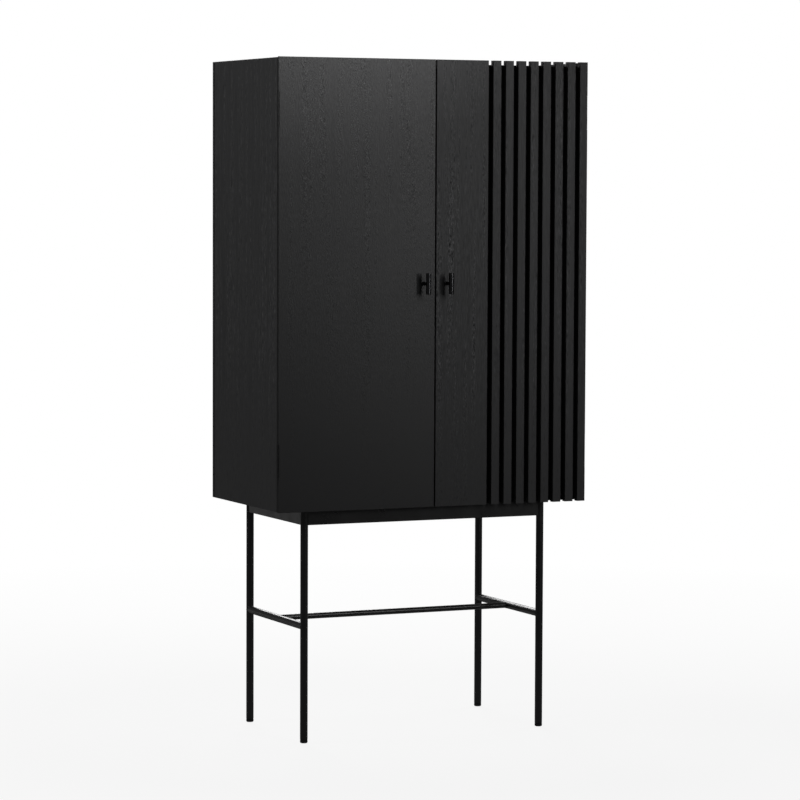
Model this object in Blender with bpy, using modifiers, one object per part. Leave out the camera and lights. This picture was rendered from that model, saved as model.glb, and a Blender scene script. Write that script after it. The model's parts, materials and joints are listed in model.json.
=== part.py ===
"""Tall two-door china cabinet of black-stained oak on a thin steel stand.

Metres, +Z up, the front faces -Y. The left door is plain; the right door has
a plain board at the meeting line and a run of slats beside it. Both doors turn
on butt hinges whose barrels lie in the mitred front corners.
"""
import math

import bmesh
import bpy
from mathutils import Vector

# Whole cabinet
WIDTH = 0.800
DEPTH = 0.410               # carcass and doors, without the knobs
HEIGHT = 1.600
STAND_HEIGHT = 0.550        # floor to the lower ends of the doors
FIT = 0.0003                # gap between pieces that touch
EASE = 0.0008               # eased edge of boards

# Carcass
SIDE_THICK = 0.020
TOP_THICK = 0.020
BOTTOM_THICK = 0.020
BACK_THICK = 0.008
TOP_RECESS = 0.010          # top board below the upper ends of the sides
DOOR_REVEAL = 0.0015        # door ends reach past the ends of the sides
DOOR_REST_GAP = 0.0015      # door backs to the front edges of top and bottom

# Doors
FRONT_THICK = 0.014         # face boards and slats
BACKING_THICK = 0.012
BACKING_DROP = 0.010        # backing below the upper ends of the slats
BACKING_RAISE = 0.0025      # backing above the lower ends of the slats
MEETING_GAP = 0.003
CORNER_RADIUS = 0.002       # rounded outer edge of a door, centred on its hinge axis
MITRE_GAP = 0.0015          # between the mitred faces of a door and its side
SLAT_COUNT = 8
SLAT_WIDTH = 0.021
SLAT_GAP = 0.0119

# Hinges
HINGE_HEIGHT = 0.080
HINGE_FROM_END = 0.120      # door end to the middle of a hinge
BARREL_SETBACK = 0.00015    # barrel inside the door's rounded edge
BARREL_CLEARANCE = 0.0006   # round the barrel, in the door's edge
HINGE_PIN_RADIUS = 0.0008
LEAF_THICK = 0.0012
LEAF_WIDTH = 0.018
TONGUE_START = 0.0008       # from the hinge axis, along the mitre
TONGUE_END = 0.0034
SHOULDER_START = 0.0017     # where the fixed leaf starts, inside the side's outer face
RECESS_START = -0.0015      # leaf recesses run out past the edge of the mitre

# Knobs
KNOB_INSET = 0.028          # meeting edge to the stem
KNOB_RAISE = 0.0015         # above the middle of the door
KNOB_REACH = 0.025          # door face to the middle of the bar
BAR_RADIUS = 0.006
BAR_LENGTH = 0.050
BAR_EASE = 0.0008
STEM_RADIUS = 0.004
STEM_SEAT = 0.002           # stem end let into the bar
SCREW_RADIUS = 0.002
SCREW_BITE = 0.012          # screw length inside the stem
SCREW_HEAD_RADIUS = 0.0042
SCREW_HEAD_HEIGHT = 0.0028
SCREW_CLEARANCE = 0.0004

# Shelves
SHELF_COUNT = 2
SHELF_THICK = 0.018
SHELF_SETBACK = 0.018       # behind the front edges of top and bottom
SHELF_SIDE_GAP = 0.001
PEG_RADIUS = 0.0025
PEG_SEAT = 0.010            # length in the side
PEG_REACH = 0.012           # length under the shelf
PEG_FROM_EDGE = 0.050       # shelf edge to the peg
PEG_ROW_STEP = 0.032        # spare holes above and below each shelf
PEG_ROW_SPARES = 1

# Magnetic catches
CATCH_SIZE = (0.044, 0.016, 0.013)
CATCH_INSET = 0.080         # meeting line to the middle of a catch
STRIKE_SIZE = (0.036, 0.0015, 0.012)

# Stand
LEG_RADIUS = 0.0090
LEG_INSET_SIDE = 0.0915     # outer face of a side to a leg's axis
LEG_INSET_FRONT = 0.0585    # door face to a front leg's axis
LEG_INSET_BACK = 0.0165
RAIL_HEIGHT = 0.038
RAIL_THICK = 0.012
STRETCHER_LEVEL = 0.2753
SIDE_STRETCHER_RADIUS = 0.0090
LONG_STRETCHER_RADIUS = 0.0070
GLIDE_HEIGHT = 0.008
GLIDE_ROUND = 0.003

# Roundness
ROUND_SIDES = 32
SMALL_SIDES = 20
ARC_STEPS = 8

# Places worked out from the sizes
FRONT_REACH = KNOB_REACH + BAR_RADIUS
FRONT_Y = FRONT_REACH - (DEPTH + FRONT_REACH) / 2
BACK_Y = FRONT_Y + DEPTH
DOOR_THICK = FRONT_THICK + FIT + BACKING_THICK
DOOR_LOW = STAND_HEIGHT
DOOR_HIGH = HEIGHT
SIDE_LOW = DOOR_LOW + DOOR_REVEAL
SIDE_HIGH = DOOR_HIGH - DOOR_REVEAL
BOTTOM_TOP = SIDE_LOW + BOTTOM_THICK
TOP_UNDER = SIDE_HIGH - TOP_RECESS - TOP_THICK
CARCASS_FRONT = DOOR_THICK + DOOR_REST_GAP
BARREL_RADIUS = CORNER_RADIUS - BARREL_SETBACK
DOOR_MITRE = CORNER_RADIUS * math.sqrt(2)
SIDE_MITRE = (CORNER_RADIUS + MITRE_GAP) * math.sqrt(2)
MEETING_EDGE = (WIDTH - MEETING_GAP) / 2
INNER_HALF = WIDTH / 2 - SIDE_THICK
LEG_X = WIDTH / 2 - LEG_INSET_SIDE
LEG_FRONT_Y = FRONT_Y + LEG_INSET_FRONT
LEG_BACK_Y = BACK_Y - LEG_INSET_BACK
SLAT_PITCH = SLAT_WIDTH + SLAT_GAP
KNOB_LEVEL = (DOOR_LOW + DOOR_HIGH) / 2 + KNOB_RAISE
HINGE_LEVELS = (("lower", DOOR_LOW + HINGE_FROM_END), ("upper", DOOR_HIGH - HINGE_FROM_END))
LEFT, RIGHT = -1, 1
SIDES = (("left", LEFT), ("right", RIGHT))


# Scene, collections and materials
def clear_scene():
    for old in list(bpy.data.objects):
        bpy.data.objects.remove(old)


def new_collection(name):
    made = bpy.data.collections.new(name)
    bpy.context.scene.collection.children.link(made)
    return made


def new_material(name, colour, roughness, metallic):
    made = bpy.data.materials.new(name)
    made.use_nodes = True
    shader = made.node_tree.nodes["Principled BSDF"]
    shader.inputs["Base Color"].default_value = (*colour, 1.0)
    shader.inputs["Roughness"].default_value = roughness
    shader.inputs["Metallic"].default_value = metallic
    return made


clear_scene()
PARTS = new_collection("china_cabinet")
CUTTERS = new_collection("cutters")
OAK = new_material("black_stained_oak", (0.035, 0.035, 0.036), 0.5, 0.0)
INSIDE = new_material("black_board", (0.020, 0.020, 0.021), 0.6, 0.0)
STEEL = new_material("black_powder_coated_steel", (0.012, 0.012, 0.013), 0.45, 0.0)
ZINC = new_material("black_zinc_steel", (0.06, 0.06, 0.065), 0.4, 1.0)
PLASTIC = new_material("black_nylon", (0.015, 0.015, 0.016), 0.6, 0.0)


# Basic solids
def add_mesh(name, work, material):
    """Turn a bmesh into a part with its faces pointing out."""
    bmesh.ops.recalc_face_normals(work, faces=work.faces)
    mesh = bpy.data.meshes.new(name)
    work.to_mesh(mesh)
    work.free()
    mesh.materials.append(material)
    piece = bpy.data.objects.new(name, mesh)
    PARTS.objects.link(piece)
    return piece


def ease_edges(piece, width):
    bevel = piece.modifiers.new("eased_edges", "BEVEL")
    bevel.width = width
    bevel.segments = 1
    bevel.limit_method = "ANGLE"
    return piece


def shade_round(piece):
    piece.data.shade_smooth()
    piece.data.set_sharp_from_angle(angle=math.radians(35))
    return piece


def block(name, low, high, material, ease=0.0):
    """A box from its lowest to its highest corner."""
    low, high = Vector(low), Vector(high)
    work = bmesh.new()
    bmesh.ops.create_cube(work, size=1.0)
    bmesh.ops.scale(work, vec=high - low, verts=work.verts)
    bmesh.ops.translate(work, vec=(low + high) / 2, verts=work.verts)
    piece = add_mesh(name, work, material)
    return ease_edges(piece, ease) if ease else piece


def add_bar(work, start, end, radius, sides):
    """A round bar between two points, added to a bmesh."""
    start, end = Vector(start), Vector(end)
    span = end - start
    made = bmesh.ops.create_cone(work, cap_ends=True, segments=sides, radius1=radius, radius2=radius,
                                 depth=span.length)
    turn = Vector((0, 0, 1)).rotation_difference(span).to_matrix()
    bmesh.ops.rotate(work, cent=(0, 0, 0), matrix=turn, verts=made["verts"])
    bmesh.ops.translate(work, vec=(start + end) / 2, verts=made["verts"])


def rods(name, lines, radius, material, sides=ROUND_SIDES):
    """Round bars of one radius along the given lines, as one object."""
    work = bmesh.new()
    for start, end in lines:
        add_bar(work, start, end, radius, sides)
    return shade_round(add_mesh(name, work, material))


def rod(name, start, end, radius, material, sides=ROUND_SIDES):
    return rods(name, [(start, end)], radius, material, sides)


def prism(name, outline, low, high, material):
    """A flat outline in plan, drawn as a filled curve and extruded upright."""
    curve = bpy.data.curves.new(name, "CURVE")
    curve.dimensions = "2D"
    curve.fill_mode = "BOTH"
    curve.extrude = (high - low) / 2
    spline = curve.splines.new("POLY")
    spline.points.add(len(outline) - 1)
    for point, (x, y) in zip(spline.points, outline):
        point.co = (x, y, 0.0, 1.0)
    spline.use_cyclic_u = True
    drawn = bpy.data.objects.new(name + "_outline", curve)
    PARTS.objects.link(drawn)
    bpy.context.view_layer.update()
    ready = drawn.evaluated_get(bpy.context.evaluated_depsgraph_get())
    flat = bpy.data.meshes.new_from_object(ready)
    bpy.data.objects.remove(drawn)
    work = bmesh.new()
    work.from_mesh(flat)
    bmesh.ops.remove_doubles(work, verts=work.verts, dist=1e-6)
    bmesh.ops.translate(work, vec=(0, 0, (low + high) / 2), verts=work.verts)
    return add_mesh(name, work, material)


def combine(piece, other, operation):
    """Cut a helper solid from a part, or fuse it on."""
    PARTS.objects.unlink(other)
    CUTTERS.objects.link(other)
    other.hide_render = True
    other.display_type = "WIRE"
    step = piece.modifiers.new(other.name, "BOOLEAN")
    step.operation = operation
    step.object = other


def cut(piece, *helpers):
    for helper in helpers:
        combine(piece, helper, "DIFFERENCE")
    return piece


def fuse(piece, *helpers):
    for helper in helpers:
        combine(piece, helper, "UNION")
    return piece


# Places near a front corner: inward from a side's outer face, and back from the door face
def plan(side, inward, back):
    return (side * (WIDTH / 2 - inward), FRONT_Y + back)


def plan_outline(side, points):
    return [plan(side, inward, back) for inward, back in points]


def plan_block(name, side, inward, back, levels, material, ease=0.0):
    """A box between two distances inward, two distances back and two levels."""
    xs = sorted(plan(side, value, 0.0)[0] for value in inward)
    low = (xs[0], FRONT_Y + back[0], levels[0])
    high = (xs[1], FRONT_Y + back[1], levels[1])
    return block(name, low, high, material, ease)


def hinge_axis(side):
    return plan(side, CORNER_RADIUS, CORNER_RADIUS)


def rounded_edge():
    """The door's outer edge in plan, round the hinge axis to where the mitre starts."""
    first, last = math.radians(270), math.radians(135)
    points = []
    for step in range(ARC_STEPS + 1):
        angle = first + (last - first) * step / ARC_STEPS
        points.append((CORNER_RADIUS * (1 + math.cos(angle)), CORNER_RADIUS * (1 + math.sin(angle))))
    return points


def mitre_slab(name, side, along, across, level, height, material):
    """A box that lies along the mitre: distances from the hinge axis, along and across the mitre."""
    x, y = hinge_axis(side)
    along_mid, across_mid = sum(along) / 2, sum(across) / 2
    slope = math.sqrt(0.5)
    middle = (x - side * slope * (along_mid - across_mid), y + slope * (along_mid + across_mid), level)
    piece = block(name, (-0.5, -0.5, -0.5), (0.5, 0.5, 0.5), material)
    size = Vector((along[1] - along[0], across[1] - across[0], height))
    for corner in piece.data.vertices:
        corner.co = corner.co * size
    piece.location = middle
    piece.rotation_euler.z = math.radians(90 + side * 45)
    return piece


# Carcass
def make_side(name, side):
    outline = [(0.0, SIDE_MITRE), (SIDE_THICK, SIDE_THICK + SIDE_MITRE), (SIDE_THICK, DEPTH), (0.0, DEPTH)]
    return prism(name, plan_outline(side, outline), SIDE_LOW, SIDE_HIGH, OAK)


def make_carcass():
    sides = {side: make_side(word + "_side_panel", side) for word, side in SIDES}
    inner = INNER_HALF - FIT
    front = FRONT_Y + CARCASS_FRONT
    rear = BACK_Y - BACK_THICK - FIT
    block("bottom_panel", (-inner, front, SIDE_LOW), (inner, rear, BOTTOM_TOP), OAK, EASE)
    block("top_panel", (-inner, front, TOP_UNDER), (inner, rear, TOP_UNDER + TOP_THICK), OAK, EASE)
    block("back_panel", (-inner, BACK_Y - BACK_THICK, SIDE_LOW), (inner, BACK_Y, TOP_UNDER + TOP_THICK),
          INSIDE)
    return sides


def shelf_levels():
    """Undersides of the shelves, which share the inner height evenly."""
    clear = TOP_UNDER - BOTTOM_TOP - SHELF_COUNT * SHELF_THICK
    room = clear / (SHELF_COUNT + 1)
    return [BOTTOM_TOP + room + number * (room + SHELF_THICK) for number in range(SHELF_COUNT)]


def make_shelves(sides):
    half = INNER_HALF - SHELF_SIDE_GAP
    front = FRONT_Y + CARCASS_FRONT + SHELF_SETBACK
    rear = BACK_Y - BACK_THICK - SHELF_SIDE_GAP
    rows = (("front", front + PEG_FROM_EDGE), ("back", rear - PEG_FROM_EDGE))
    holes = {LEFT: [], RIGHT: []}
    for number, level in enumerate(shelf_levels(), 1):
        shelf = f"shelf_{number}"
        block(shelf, (-half, front, level), (half, rear, level + SHELF_THICK), INSIDE, EASE)
        peg_level = level - FIT - PEG_RADIUS
        for word, side in SIDES:
            for row, y in rows:
                seat = (side * (INNER_HALF + PEG_SEAT), y, peg_level)
                tip = (side * (INNER_HALF - PEG_REACH), y, peg_level)
                rod(f"{shelf}_peg_{word}_{row}", seat, tip, PEG_RADIUS, ZINC, SMALL_SIDES)
                holes[side] += peg_row(side, y, peg_level)
    for word, side in SIDES:
        cut(sides[side], rods(f"{word}_peg_holes", holes[side], PEG_RADIUS + FIT, INSIDE, SMALL_SIDES))


def peg_row(side, y, level):
    """The lines of a peg's own hole and of the spare holes above and below it."""
    deep = side * (INNER_HALF + PEG_SEAT + FIT)
    mouth = side * (INNER_HALF - PEG_REACH)
    levels = [level + spare * PEG_ROW_STEP for spare in range(-PEG_ROW_SPARES, PEG_ROW_SPARES + 1)]
    return [((deep, y, z), (mouth, y, z)) for z in levels]


# Doors
def face_outline(inner_edge):
    """A face board with the rounded, mitred outer edge."""
    straight = [(FRONT_THICK - DOOR_MITRE, FRONT_THICK), (inner_edge, FRONT_THICK), (inner_edge, 0.0)]
    return rounded_edge() + straight


def make_backing(name, side):
    start = FRONT_THICK + FIT
    outline = [(start - DOOR_MITRE, start), (DOOR_THICK - DOOR_MITRE, DOOR_THICK),
               (MEETING_EDGE, DOOR_THICK), (MEETING_EDGE, start)]
    low, high = DOOR_LOW + BACKING_RAISE, DOOR_HIGH - BACKING_DROP
    return prism(name, plan_outline(side, outline), low, high, INSIDE)


def make_left_door():
    outline = plan_outline(LEFT, face_outline(MEETING_EDGE))
    board = prism("left_door_board", outline, DOOR_LOW, DOOR_HIGH, OAK)
    backing = make_backing("left_door_backing", LEFT)
    return {"board": board, "edge": board, "backing": backing, "pieces": [board, backing]}


def make_right_door():
    levels = (DOOR_LOW, DOOR_HIGH)
    board = plan_block("right_door_board", RIGHT, (SLAT_COUNT * SLAT_PITCH, MEETING_EDGE),
                       (0.0, FRONT_THICK), levels, OAK, EASE)
    slats = []
    for number in range(1, SLAT_COUNT):
        start = (SLAT_COUNT - number) * SLAT_PITCH
        slats.append(plan_block(f"right_door_slat_{number}", RIGHT, (start, start + SLAT_WIDTH),
                                (0.0, FRONT_THICK), levels, OAK, EASE))
    outline = plan_outline(RIGHT, face_outline(SLAT_WIDTH))
    edge = prism(f"right_door_slat_{SLAT_COUNT}", outline, DOOR_LOW, DOOR_HIGH, OAK)
    backing = make_backing("right_door_backing", RIGHT)
    return {"board": board, "edge": edge, "backing": backing, "pieces": [board, *slats, edge, backing]}


# Hinges: the barrel lies in the rounded edge, and the leaves are let into the mitred faces
def barrel(name, side, low, high, radius):
    x, y = hinge_axis(side)
    return rod(name, (x, y, low), (x, y, high), radius, STEEL, SMALL_SIDES)


def make_hinge(word, side, place, level, door, panel):
    name = f"{word}_{place}_hinge"
    low, high = level - HINGE_HEIGHT / 2, level + HINGE_HEIGHT / 2
    third = HINGE_HEIGHT / 3
    leaf_gap = (MITRE_GAP - FIT) / 2
    door_across = (CORNER_RADIUS + leaf_gap - LEAF_THICK, CORNER_RADIUS + leaf_gap)
    side_across = (door_across[1] + FIT, door_across[1] + FIT + LEAF_THICK)
    plate = (TONGUE_END + FIT, TONGUE_END + FIT + LEAF_WIDTH)
    tongue = (TONGUE_START, TONGUE_END)

    fixed = mitre_slab(f"{name}_fixed_leaf", side, (SHOULDER_START, plate[1]), side_across, level,
                       HINGE_HEIGHT, STEEL)
    for end, start in (("low", low), ("high", high - third)):
        middle = start + third / 2
        fuse(fixed,
             mitre_slab(f"{name}_fixed_tongue_{end}", side, tongue, (door_across[0], side_across[0] + FIT),
                        middle, third, STEEL),
             barrel(f"{name}_fixed_knuckle_{end}", side, start, start + third, BARREL_RADIUS))
    fuse(fixed, barrel(f"{name}_pin", side, low + third / 2, high - third / 2, HINGE_PIN_RADIUS))

    knuckle_low, knuckle_high = low + third + FIT, high - third - FIT
    moving = mitre_slab(f"{name}_door_leaf", side, plate, door_across, level, HINGE_HEIGHT, STEEL)
    fuse(moving,
         mitre_slab(f"{name}_door_tongue", side, (tongue[0], plate[0] + LEAF_THICK), door_across, level,
                    knuckle_high - knuckle_low, STEEL),
         barrel(f"{name}_door_knuckle", side, knuckle_low, knuckle_high, BARREL_RADIUS))
    cut(moving, barrel(f"{name}_bore", side, low, high, HINGE_PIN_RADIUS + FIT))

    tall = HINGE_HEIGHT + 2 * FIT
    recess = (RECESS_START, plate[1] + FIT)
    for piece in (door["edge"], door["backing"]):
        cut(piece, mitre_slab(f"{piece.name}_{place}_leaf_recess", side, recess,
                              (door_across[0] - FIT, CORNER_RADIUS + MITRE_GAP), level, tall, STEEL))
    cut(door["edge"], barrel(f"{name}_barrel_recess", side, low - FIT, high + FIT,
                             BARREL_RADIUS + BARREL_CLEARANCE))
    cut(panel, mitre_slab(f"{name}_side_recess", side, recess, (CORNER_RADIUS, side_across[1] + FIT),
                          level, tall, STEEL))
    return moving


# Knobs, with the screws that hold them from behind
def make_knob(word, side, door):
    x = side * (MEETING_GAP / 2 + KNOB_INSET)
    z = KNOB_LEVEL
    face = FRONT_Y
    back = FRONT_Y + DOOR_THICK
    bar_y = face - KNOB_REACH
    seat_y = bar_y + BAR_RADIUS - STEM_SEAT
    half = BAR_LENGTH / 2
    bar = rod(f"{word}_knob_bar", (x, bar_y, z - half), (x, bar_y, z + half), BAR_RADIUS, STEEL)
    ease_edges(bar, BAR_EASE)
    stem = rod(f"{word}_knob_stem", (x, face - FIT, z), (x, seat_y, z), STEM_RADIUS, STEEL, SMALL_SIDES)
    cut(bar, rod(f"{word}_stem_socket", (x, face, z), (x, seat_y - FIT, z), STEM_RADIUS + FIT, STEEL,
                 SMALL_SIDES))

    tip_y = face - FIT - SCREW_BITE
    screw = rod(f"{word}_knob_screw", (x, tip_y, z), (x, back + SCREW_HEAD_HEIGHT, z), SCREW_RADIUS, ZINC,
                SMALL_SIDES)
    fuse(screw, rod(f"{word}_screw_head", (x, back + FIT, z), (x, back + FIT + SCREW_HEAD_HEIGHT, z),
                    SCREW_HEAD_RADIUS, ZINC, SMALL_SIDES))
    for piece, depth in ((stem, tip_y - FIT), (door["board"], face - FIT), (door["backing"], face)):
        cut(piece, rod(f"{piece.name}_screw_hole", (x, depth, z), (x, back + SCREW_HEAD_HEIGHT, z),
                       SCREW_RADIUS + SCREW_CLEARANCE, STEEL, SMALL_SIDES))
    return [bar, stem, screw]


# Magnetic catches under the top board, and their strike plates on the doors
def make_catch(word, side):
    x = side * CATCH_INSET
    strike_y = FRONT_Y + DOOR_THICK + FIT
    catch_y = strike_y + STRIKE_SIZE[1] + FIT
    top = TOP_UNDER - FIT
    half = CATCH_SIZE[0] / 2
    block(f"{word}_catch", (x - half, catch_y, top - CATCH_SIZE[2]), (x + half, catch_y + CATCH_SIZE[1], top),
          PLASTIC, EASE)
    half = STRIKE_SIZE[0] / 2
    middle = top - CATCH_SIZE[2] / 2
    low = (x - half, strike_y, middle - STRIKE_SIZE[2] / 2)
    high = (x + half, strike_y + STRIKE_SIZE[1], middle + STRIKE_SIZE[2] / 2)
    return block(f"{word}_strike_plate", low, high, ZINC)


# Stand
def coped_bar(name, bar, ends, radius):
    """Hollow the bar's ends to sit round the tubes that it meets."""
    for number, (start, end) in enumerate(ends):
        cut(bar, rod(f"{name}_cope_{number}", start, end, radius + FIT, STEEL))
    return bar


def upright(x, y):
    return ((x, y, 0.0), (x, y, HEIGHT))


def make_leg(name, x, y):
    top = SIDE_LOW - FIT
    rod(f"{name}_leg", (x, y, GLIDE_HEIGHT + FIT), (x, y, top), LEG_RADIUS, STEEL)
    make_glide(f"{name}_foot_glide", x, y)


def make_glide(name, x, y):
    """A turned foot with a rounded lower rim."""
    profile = [(0.0, GLIDE_HEIGHT), (LEG_RADIUS, GLIDE_HEIGHT)]
    for step in range(ARC_STEPS + 1):
        angle = math.radians(90) * step / ARC_STEPS
        radius = LEG_RADIUS - GLIDE_ROUND * (1 - math.cos(angle))
        profile.append((radius, GLIDE_ROUND * (1 - math.sin(angle))))
    profile.append((0.0, 0.0))
    mesh = bpy.data.meshes.new(name)
    mesh.from_pydata([(r, 0.0, z) for r, z in profile], [(i, i + 1) for i in range(len(profile) - 1)], [])
    mesh.materials.append(PLASTIC)
    glide = bpy.data.objects.new(name, mesh)
    glide.location = (x, y, 0.0)
    PARTS.objects.link(glide)
    turn = glide.modifiers.new("turned", "SCREW")
    turn.steps = ROUND_SIDES
    turn.render_steps = ROUND_SIDES
    turn.use_merge_vertices = True
    turn.merge_threshold = 1e-6
    turn.use_smooth_shade = True


def make_stand():
    for depth_word, y in (("front", LEG_FRONT_Y), ("back", LEG_BACK_Y)):
        for word, side in SIDES:
            make_leg(f"{depth_word}_{word}", side * LEG_X, y)
    high = SIDE_LOW - FIT
    low = high - RAIL_HEIGHT
    half = RAIL_THICK / 2
    for depth_word, y in (("front", LEG_FRONT_Y), ("back", LEG_BACK_Y)):
        rail = block(f"{depth_word}_rail", (-LEG_X, y - half, low), (LEG_X, y + half, high), STEEL)
        coped_bar(f"{depth_word}_rail", rail, [upright(-LEG_X, y), upright(LEG_X, y)], LEG_RADIUS)
    middle_y = (LEG_FRONT_Y + LEG_BACK_Y) / 2
    level = STRETCHER_LEVEL
    side_lines = []
    for word, side in SIDES:
        x = side * LEG_X
        posts = [upright(x, LEG_FRONT_Y), upright(x, LEG_BACK_Y)]
        rail = block(f"{word}_rail", (x - half, LEG_FRONT_Y, low), (x + half, LEG_BACK_Y, high), STEEL)
        coped_bar(f"{word}_rail", rail, posts, LEG_RADIUS)
        line = ((x, LEG_FRONT_Y, level), (x, LEG_BACK_Y, level))
        bar = rod(f"{word}_stretcher", *line, SIDE_STRETCHER_RADIUS, STEEL)
        coped_bar(f"{word}_stretcher", bar, posts, LEG_RADIUS)
        side_lines.append(line)
    bar = rod("long_stretcher", (-LEG_X, middle_y, level), (LEG_X, middle_y, level), LONG_STRETCHER_RADIUS,
              STEEL)
    coped_bar("long_stretcher", bar, side_lines, SIDE_STRETCHER_RADIUS)


def hang_on_axis(word, side, pieces):
    """Parent a door's pieces to an empty on its hinge axis."""
    pivot = bpy.data.objects.new(f"{word}_door_pivot", None)
    pivot.location = (*hinge_axis(side), DOOR_LOW)
    PARTS.objects.link(pivot)
    bpy.context.view_layer.update()
    for piece in pieces:
        piece.parent = pivot
        piece.matrix_parent_inverse = pivot.matrix_world.inverted()


def main():
    sides = make_carcass()
    make_shelves(sides)
    doors = {LEFT: make_left_door(), RIGHT: make_right_door()}
    for word, side in SIDES:
        door = doors[side]
        moving = door["pieces"]
        for place, level in HINGE_LEVELS:
            moving.append(make_hinge(word, side, place, level, door, sides[side]))
        moving.extend(make_knob(word, side, door))
        moving.append(make_catch(word, side))
        hang_on_axis(word, side, moving)
    make_stand()


main()
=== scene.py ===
# %% [markdown]
# # A tall china cabinet of black-stained oak
# The real piece is a two-door cabinet on a thin steel stand. The left door is one plain
# board, the right door a narrow board and a run of upright slats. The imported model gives
# every solid its place, and this script dresses it: softer edges, turned knobs, welded
# joints, screws and finishes. Lengths are in metres, and the front faces -Y.

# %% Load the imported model
import json
import math
import random

import bmesh
import bpy
from mathutils import Matrix, Vector

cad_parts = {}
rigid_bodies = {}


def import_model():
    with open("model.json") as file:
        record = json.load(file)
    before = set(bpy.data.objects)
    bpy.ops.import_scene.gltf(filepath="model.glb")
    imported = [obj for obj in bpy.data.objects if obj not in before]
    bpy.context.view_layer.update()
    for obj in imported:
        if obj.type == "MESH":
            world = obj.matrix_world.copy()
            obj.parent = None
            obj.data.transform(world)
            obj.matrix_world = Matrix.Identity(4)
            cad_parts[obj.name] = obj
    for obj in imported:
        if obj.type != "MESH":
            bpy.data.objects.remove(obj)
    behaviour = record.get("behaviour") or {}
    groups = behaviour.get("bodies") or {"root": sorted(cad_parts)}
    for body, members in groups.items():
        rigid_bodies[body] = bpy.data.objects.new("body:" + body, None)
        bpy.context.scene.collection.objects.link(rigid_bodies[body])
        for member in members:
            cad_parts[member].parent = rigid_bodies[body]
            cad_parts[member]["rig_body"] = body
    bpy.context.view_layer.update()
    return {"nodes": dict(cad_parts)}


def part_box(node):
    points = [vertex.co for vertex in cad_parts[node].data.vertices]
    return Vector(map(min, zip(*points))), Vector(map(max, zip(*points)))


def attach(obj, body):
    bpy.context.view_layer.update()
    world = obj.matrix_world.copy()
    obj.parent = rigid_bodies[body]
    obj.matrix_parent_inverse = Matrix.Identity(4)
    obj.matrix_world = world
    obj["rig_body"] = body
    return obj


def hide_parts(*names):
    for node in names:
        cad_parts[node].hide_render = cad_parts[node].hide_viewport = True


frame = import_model()
NODES = frame["nodes"]


# %% Object helpers
def linked(name, data):
    """A new object with this data, in the scene."""
    thing = bpy.data.objects.new(name, data)
    bpy.context.scene.collection.objects.link(thing)
    return thing


def written(work, name):
    """The mesh of a bmesh, which is freed."""
    mesh = bpy.data.meshes.new(name)
    work.to_mesh(mesh)
    work.free()
    return mesh


print("object helpers ready")

# %% [markdown]
# ## The camera
# The photograph was taken from the left, a little above the middle, with a long lens.
# The place and angles below come from a fit of the cabinet's corners to the picture.
# A camera in Blender looks along its own -Z, so it is tipped up by 90 degrees first,
# then turned to the right and rolled.

# %% Place the camera
CAMERA_PLACE = Vector((-3.3673, -7.3124, 1.3274))
CAMERA_TURN = math.radians(24.704)
CAMERA_TILT = math.radians(3.815)
CAMERA_ROLL = math.radians(0.231)
LENS_MM = 151.06
SENSOR_MM = 36.0

camera_data = bpy.data.cameras.new("camera")
camera_data.lens = LENS_MM
camera_data.sensor_width = SENSOR_MM
camera_data.clip_end = 200.0
camera = linked("camera", camera_data)
turn = Matrix.Rotation(-CAMERA_TURN, 4, "Z")
tilt = Matrix.Rotation(math.radians(90) - CAMERA_TILT, 4, "X")
roll = Matrix.Rotation(CAMERA_ROLL, 4, "Z")
camera.matrix_world = Matrix.Translation(CAMERA_PLACE) @ turn @ tilt @ roll
bpy.context.scene.camera = camera
print("camera distance:", round(CAMERA_PLACE.length, 2), "m")

# %% [markdown]
# ## Helpers for node trees
# Colours are written as the sRGB hex values that a paint program shows, and shaders
# calculate in linear light, so one function converts them. Another adds a node, sets its
# properties, and fills its inputs with numbers or links. The short ones after it stand for
# the nodes that every finish needs.


# %% Colour and node helpers
def linear(hex_colour):
    """An sRGB hex colour as linear RGBA."""
    channels = []
    for start in (1, 3, 5):
        value = int(hex_colour[start:start + 2], 16) / 255
        channels.append(value / 12.92 if value <= 0.04045 else ((value + 0.055) / 1.055) ** 2.4)
    return (*channels, 1.0)


def add_node(tree, kind, inputs=None, **settings):
    """Add a node, set its properties, and fill its inputs with values or links."""
    node = tree.nodes.new(kind)
    for name, value in settings.items():
        setattr(node, name, value)
    for name, value in (inputs or {}).items():
        if isinstance(value, bpy.types.NodeSocket):
            tree.links.new(value, node.inputs[name])
        else:
            node.inputs[name].default_value = value
    return node


def out_of(tree, kind, inputs=None, **settings):
    """Add a node and give its first output."""
    return add_node(tree, kind, inputs, **settings).outputs[0]


def calculated(tree, operation, *values):
    """The result of a calculation with numbers or links."""
    return out_of(tree, "ShaderNodeMath", dict(enumerate(values)), operation=operation)


def vectors(tree, operation, first, second):
    """The result of a calculation with two vectors."""
    return out_of(tree, "ShaderNodeVectorMath", {0: first, 1: second}, operation=operation)


def ramp(tree, value, start, end, low=0.0, high=1.0, **settings):
    """A value that goes from low to high while the given one goes from start to end."""
    return out_of(tree, "ShaderNodeMapRange", {"Value": value, "From Min": start, "From Max": end,
                                               "To Min": low, "To Max": high}, **settings)


def blend(tree, share, *colours, **settings):
    """A mix of two colours, each a hex value or a link."""
    first, second = [linear(colour) if isinstance(colour, str) else colour for colour in colours]
    return add_node(tree, "ShaderNodeMix", {0: share, 6: first, 7: second}, data_type="RGBA",
                    **settings).outputs[2]


def noise(tree, place, width_mm, detail, **inputs):
    """The outputs of a noise whose marks are about this wide."""
    return add_node(tree, "ShaderNodeTexNoise", {"Vector": place, "Scale": 1000.0 / width_mm,
                                                 "Detail": detail, **inputs}).outputs


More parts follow.
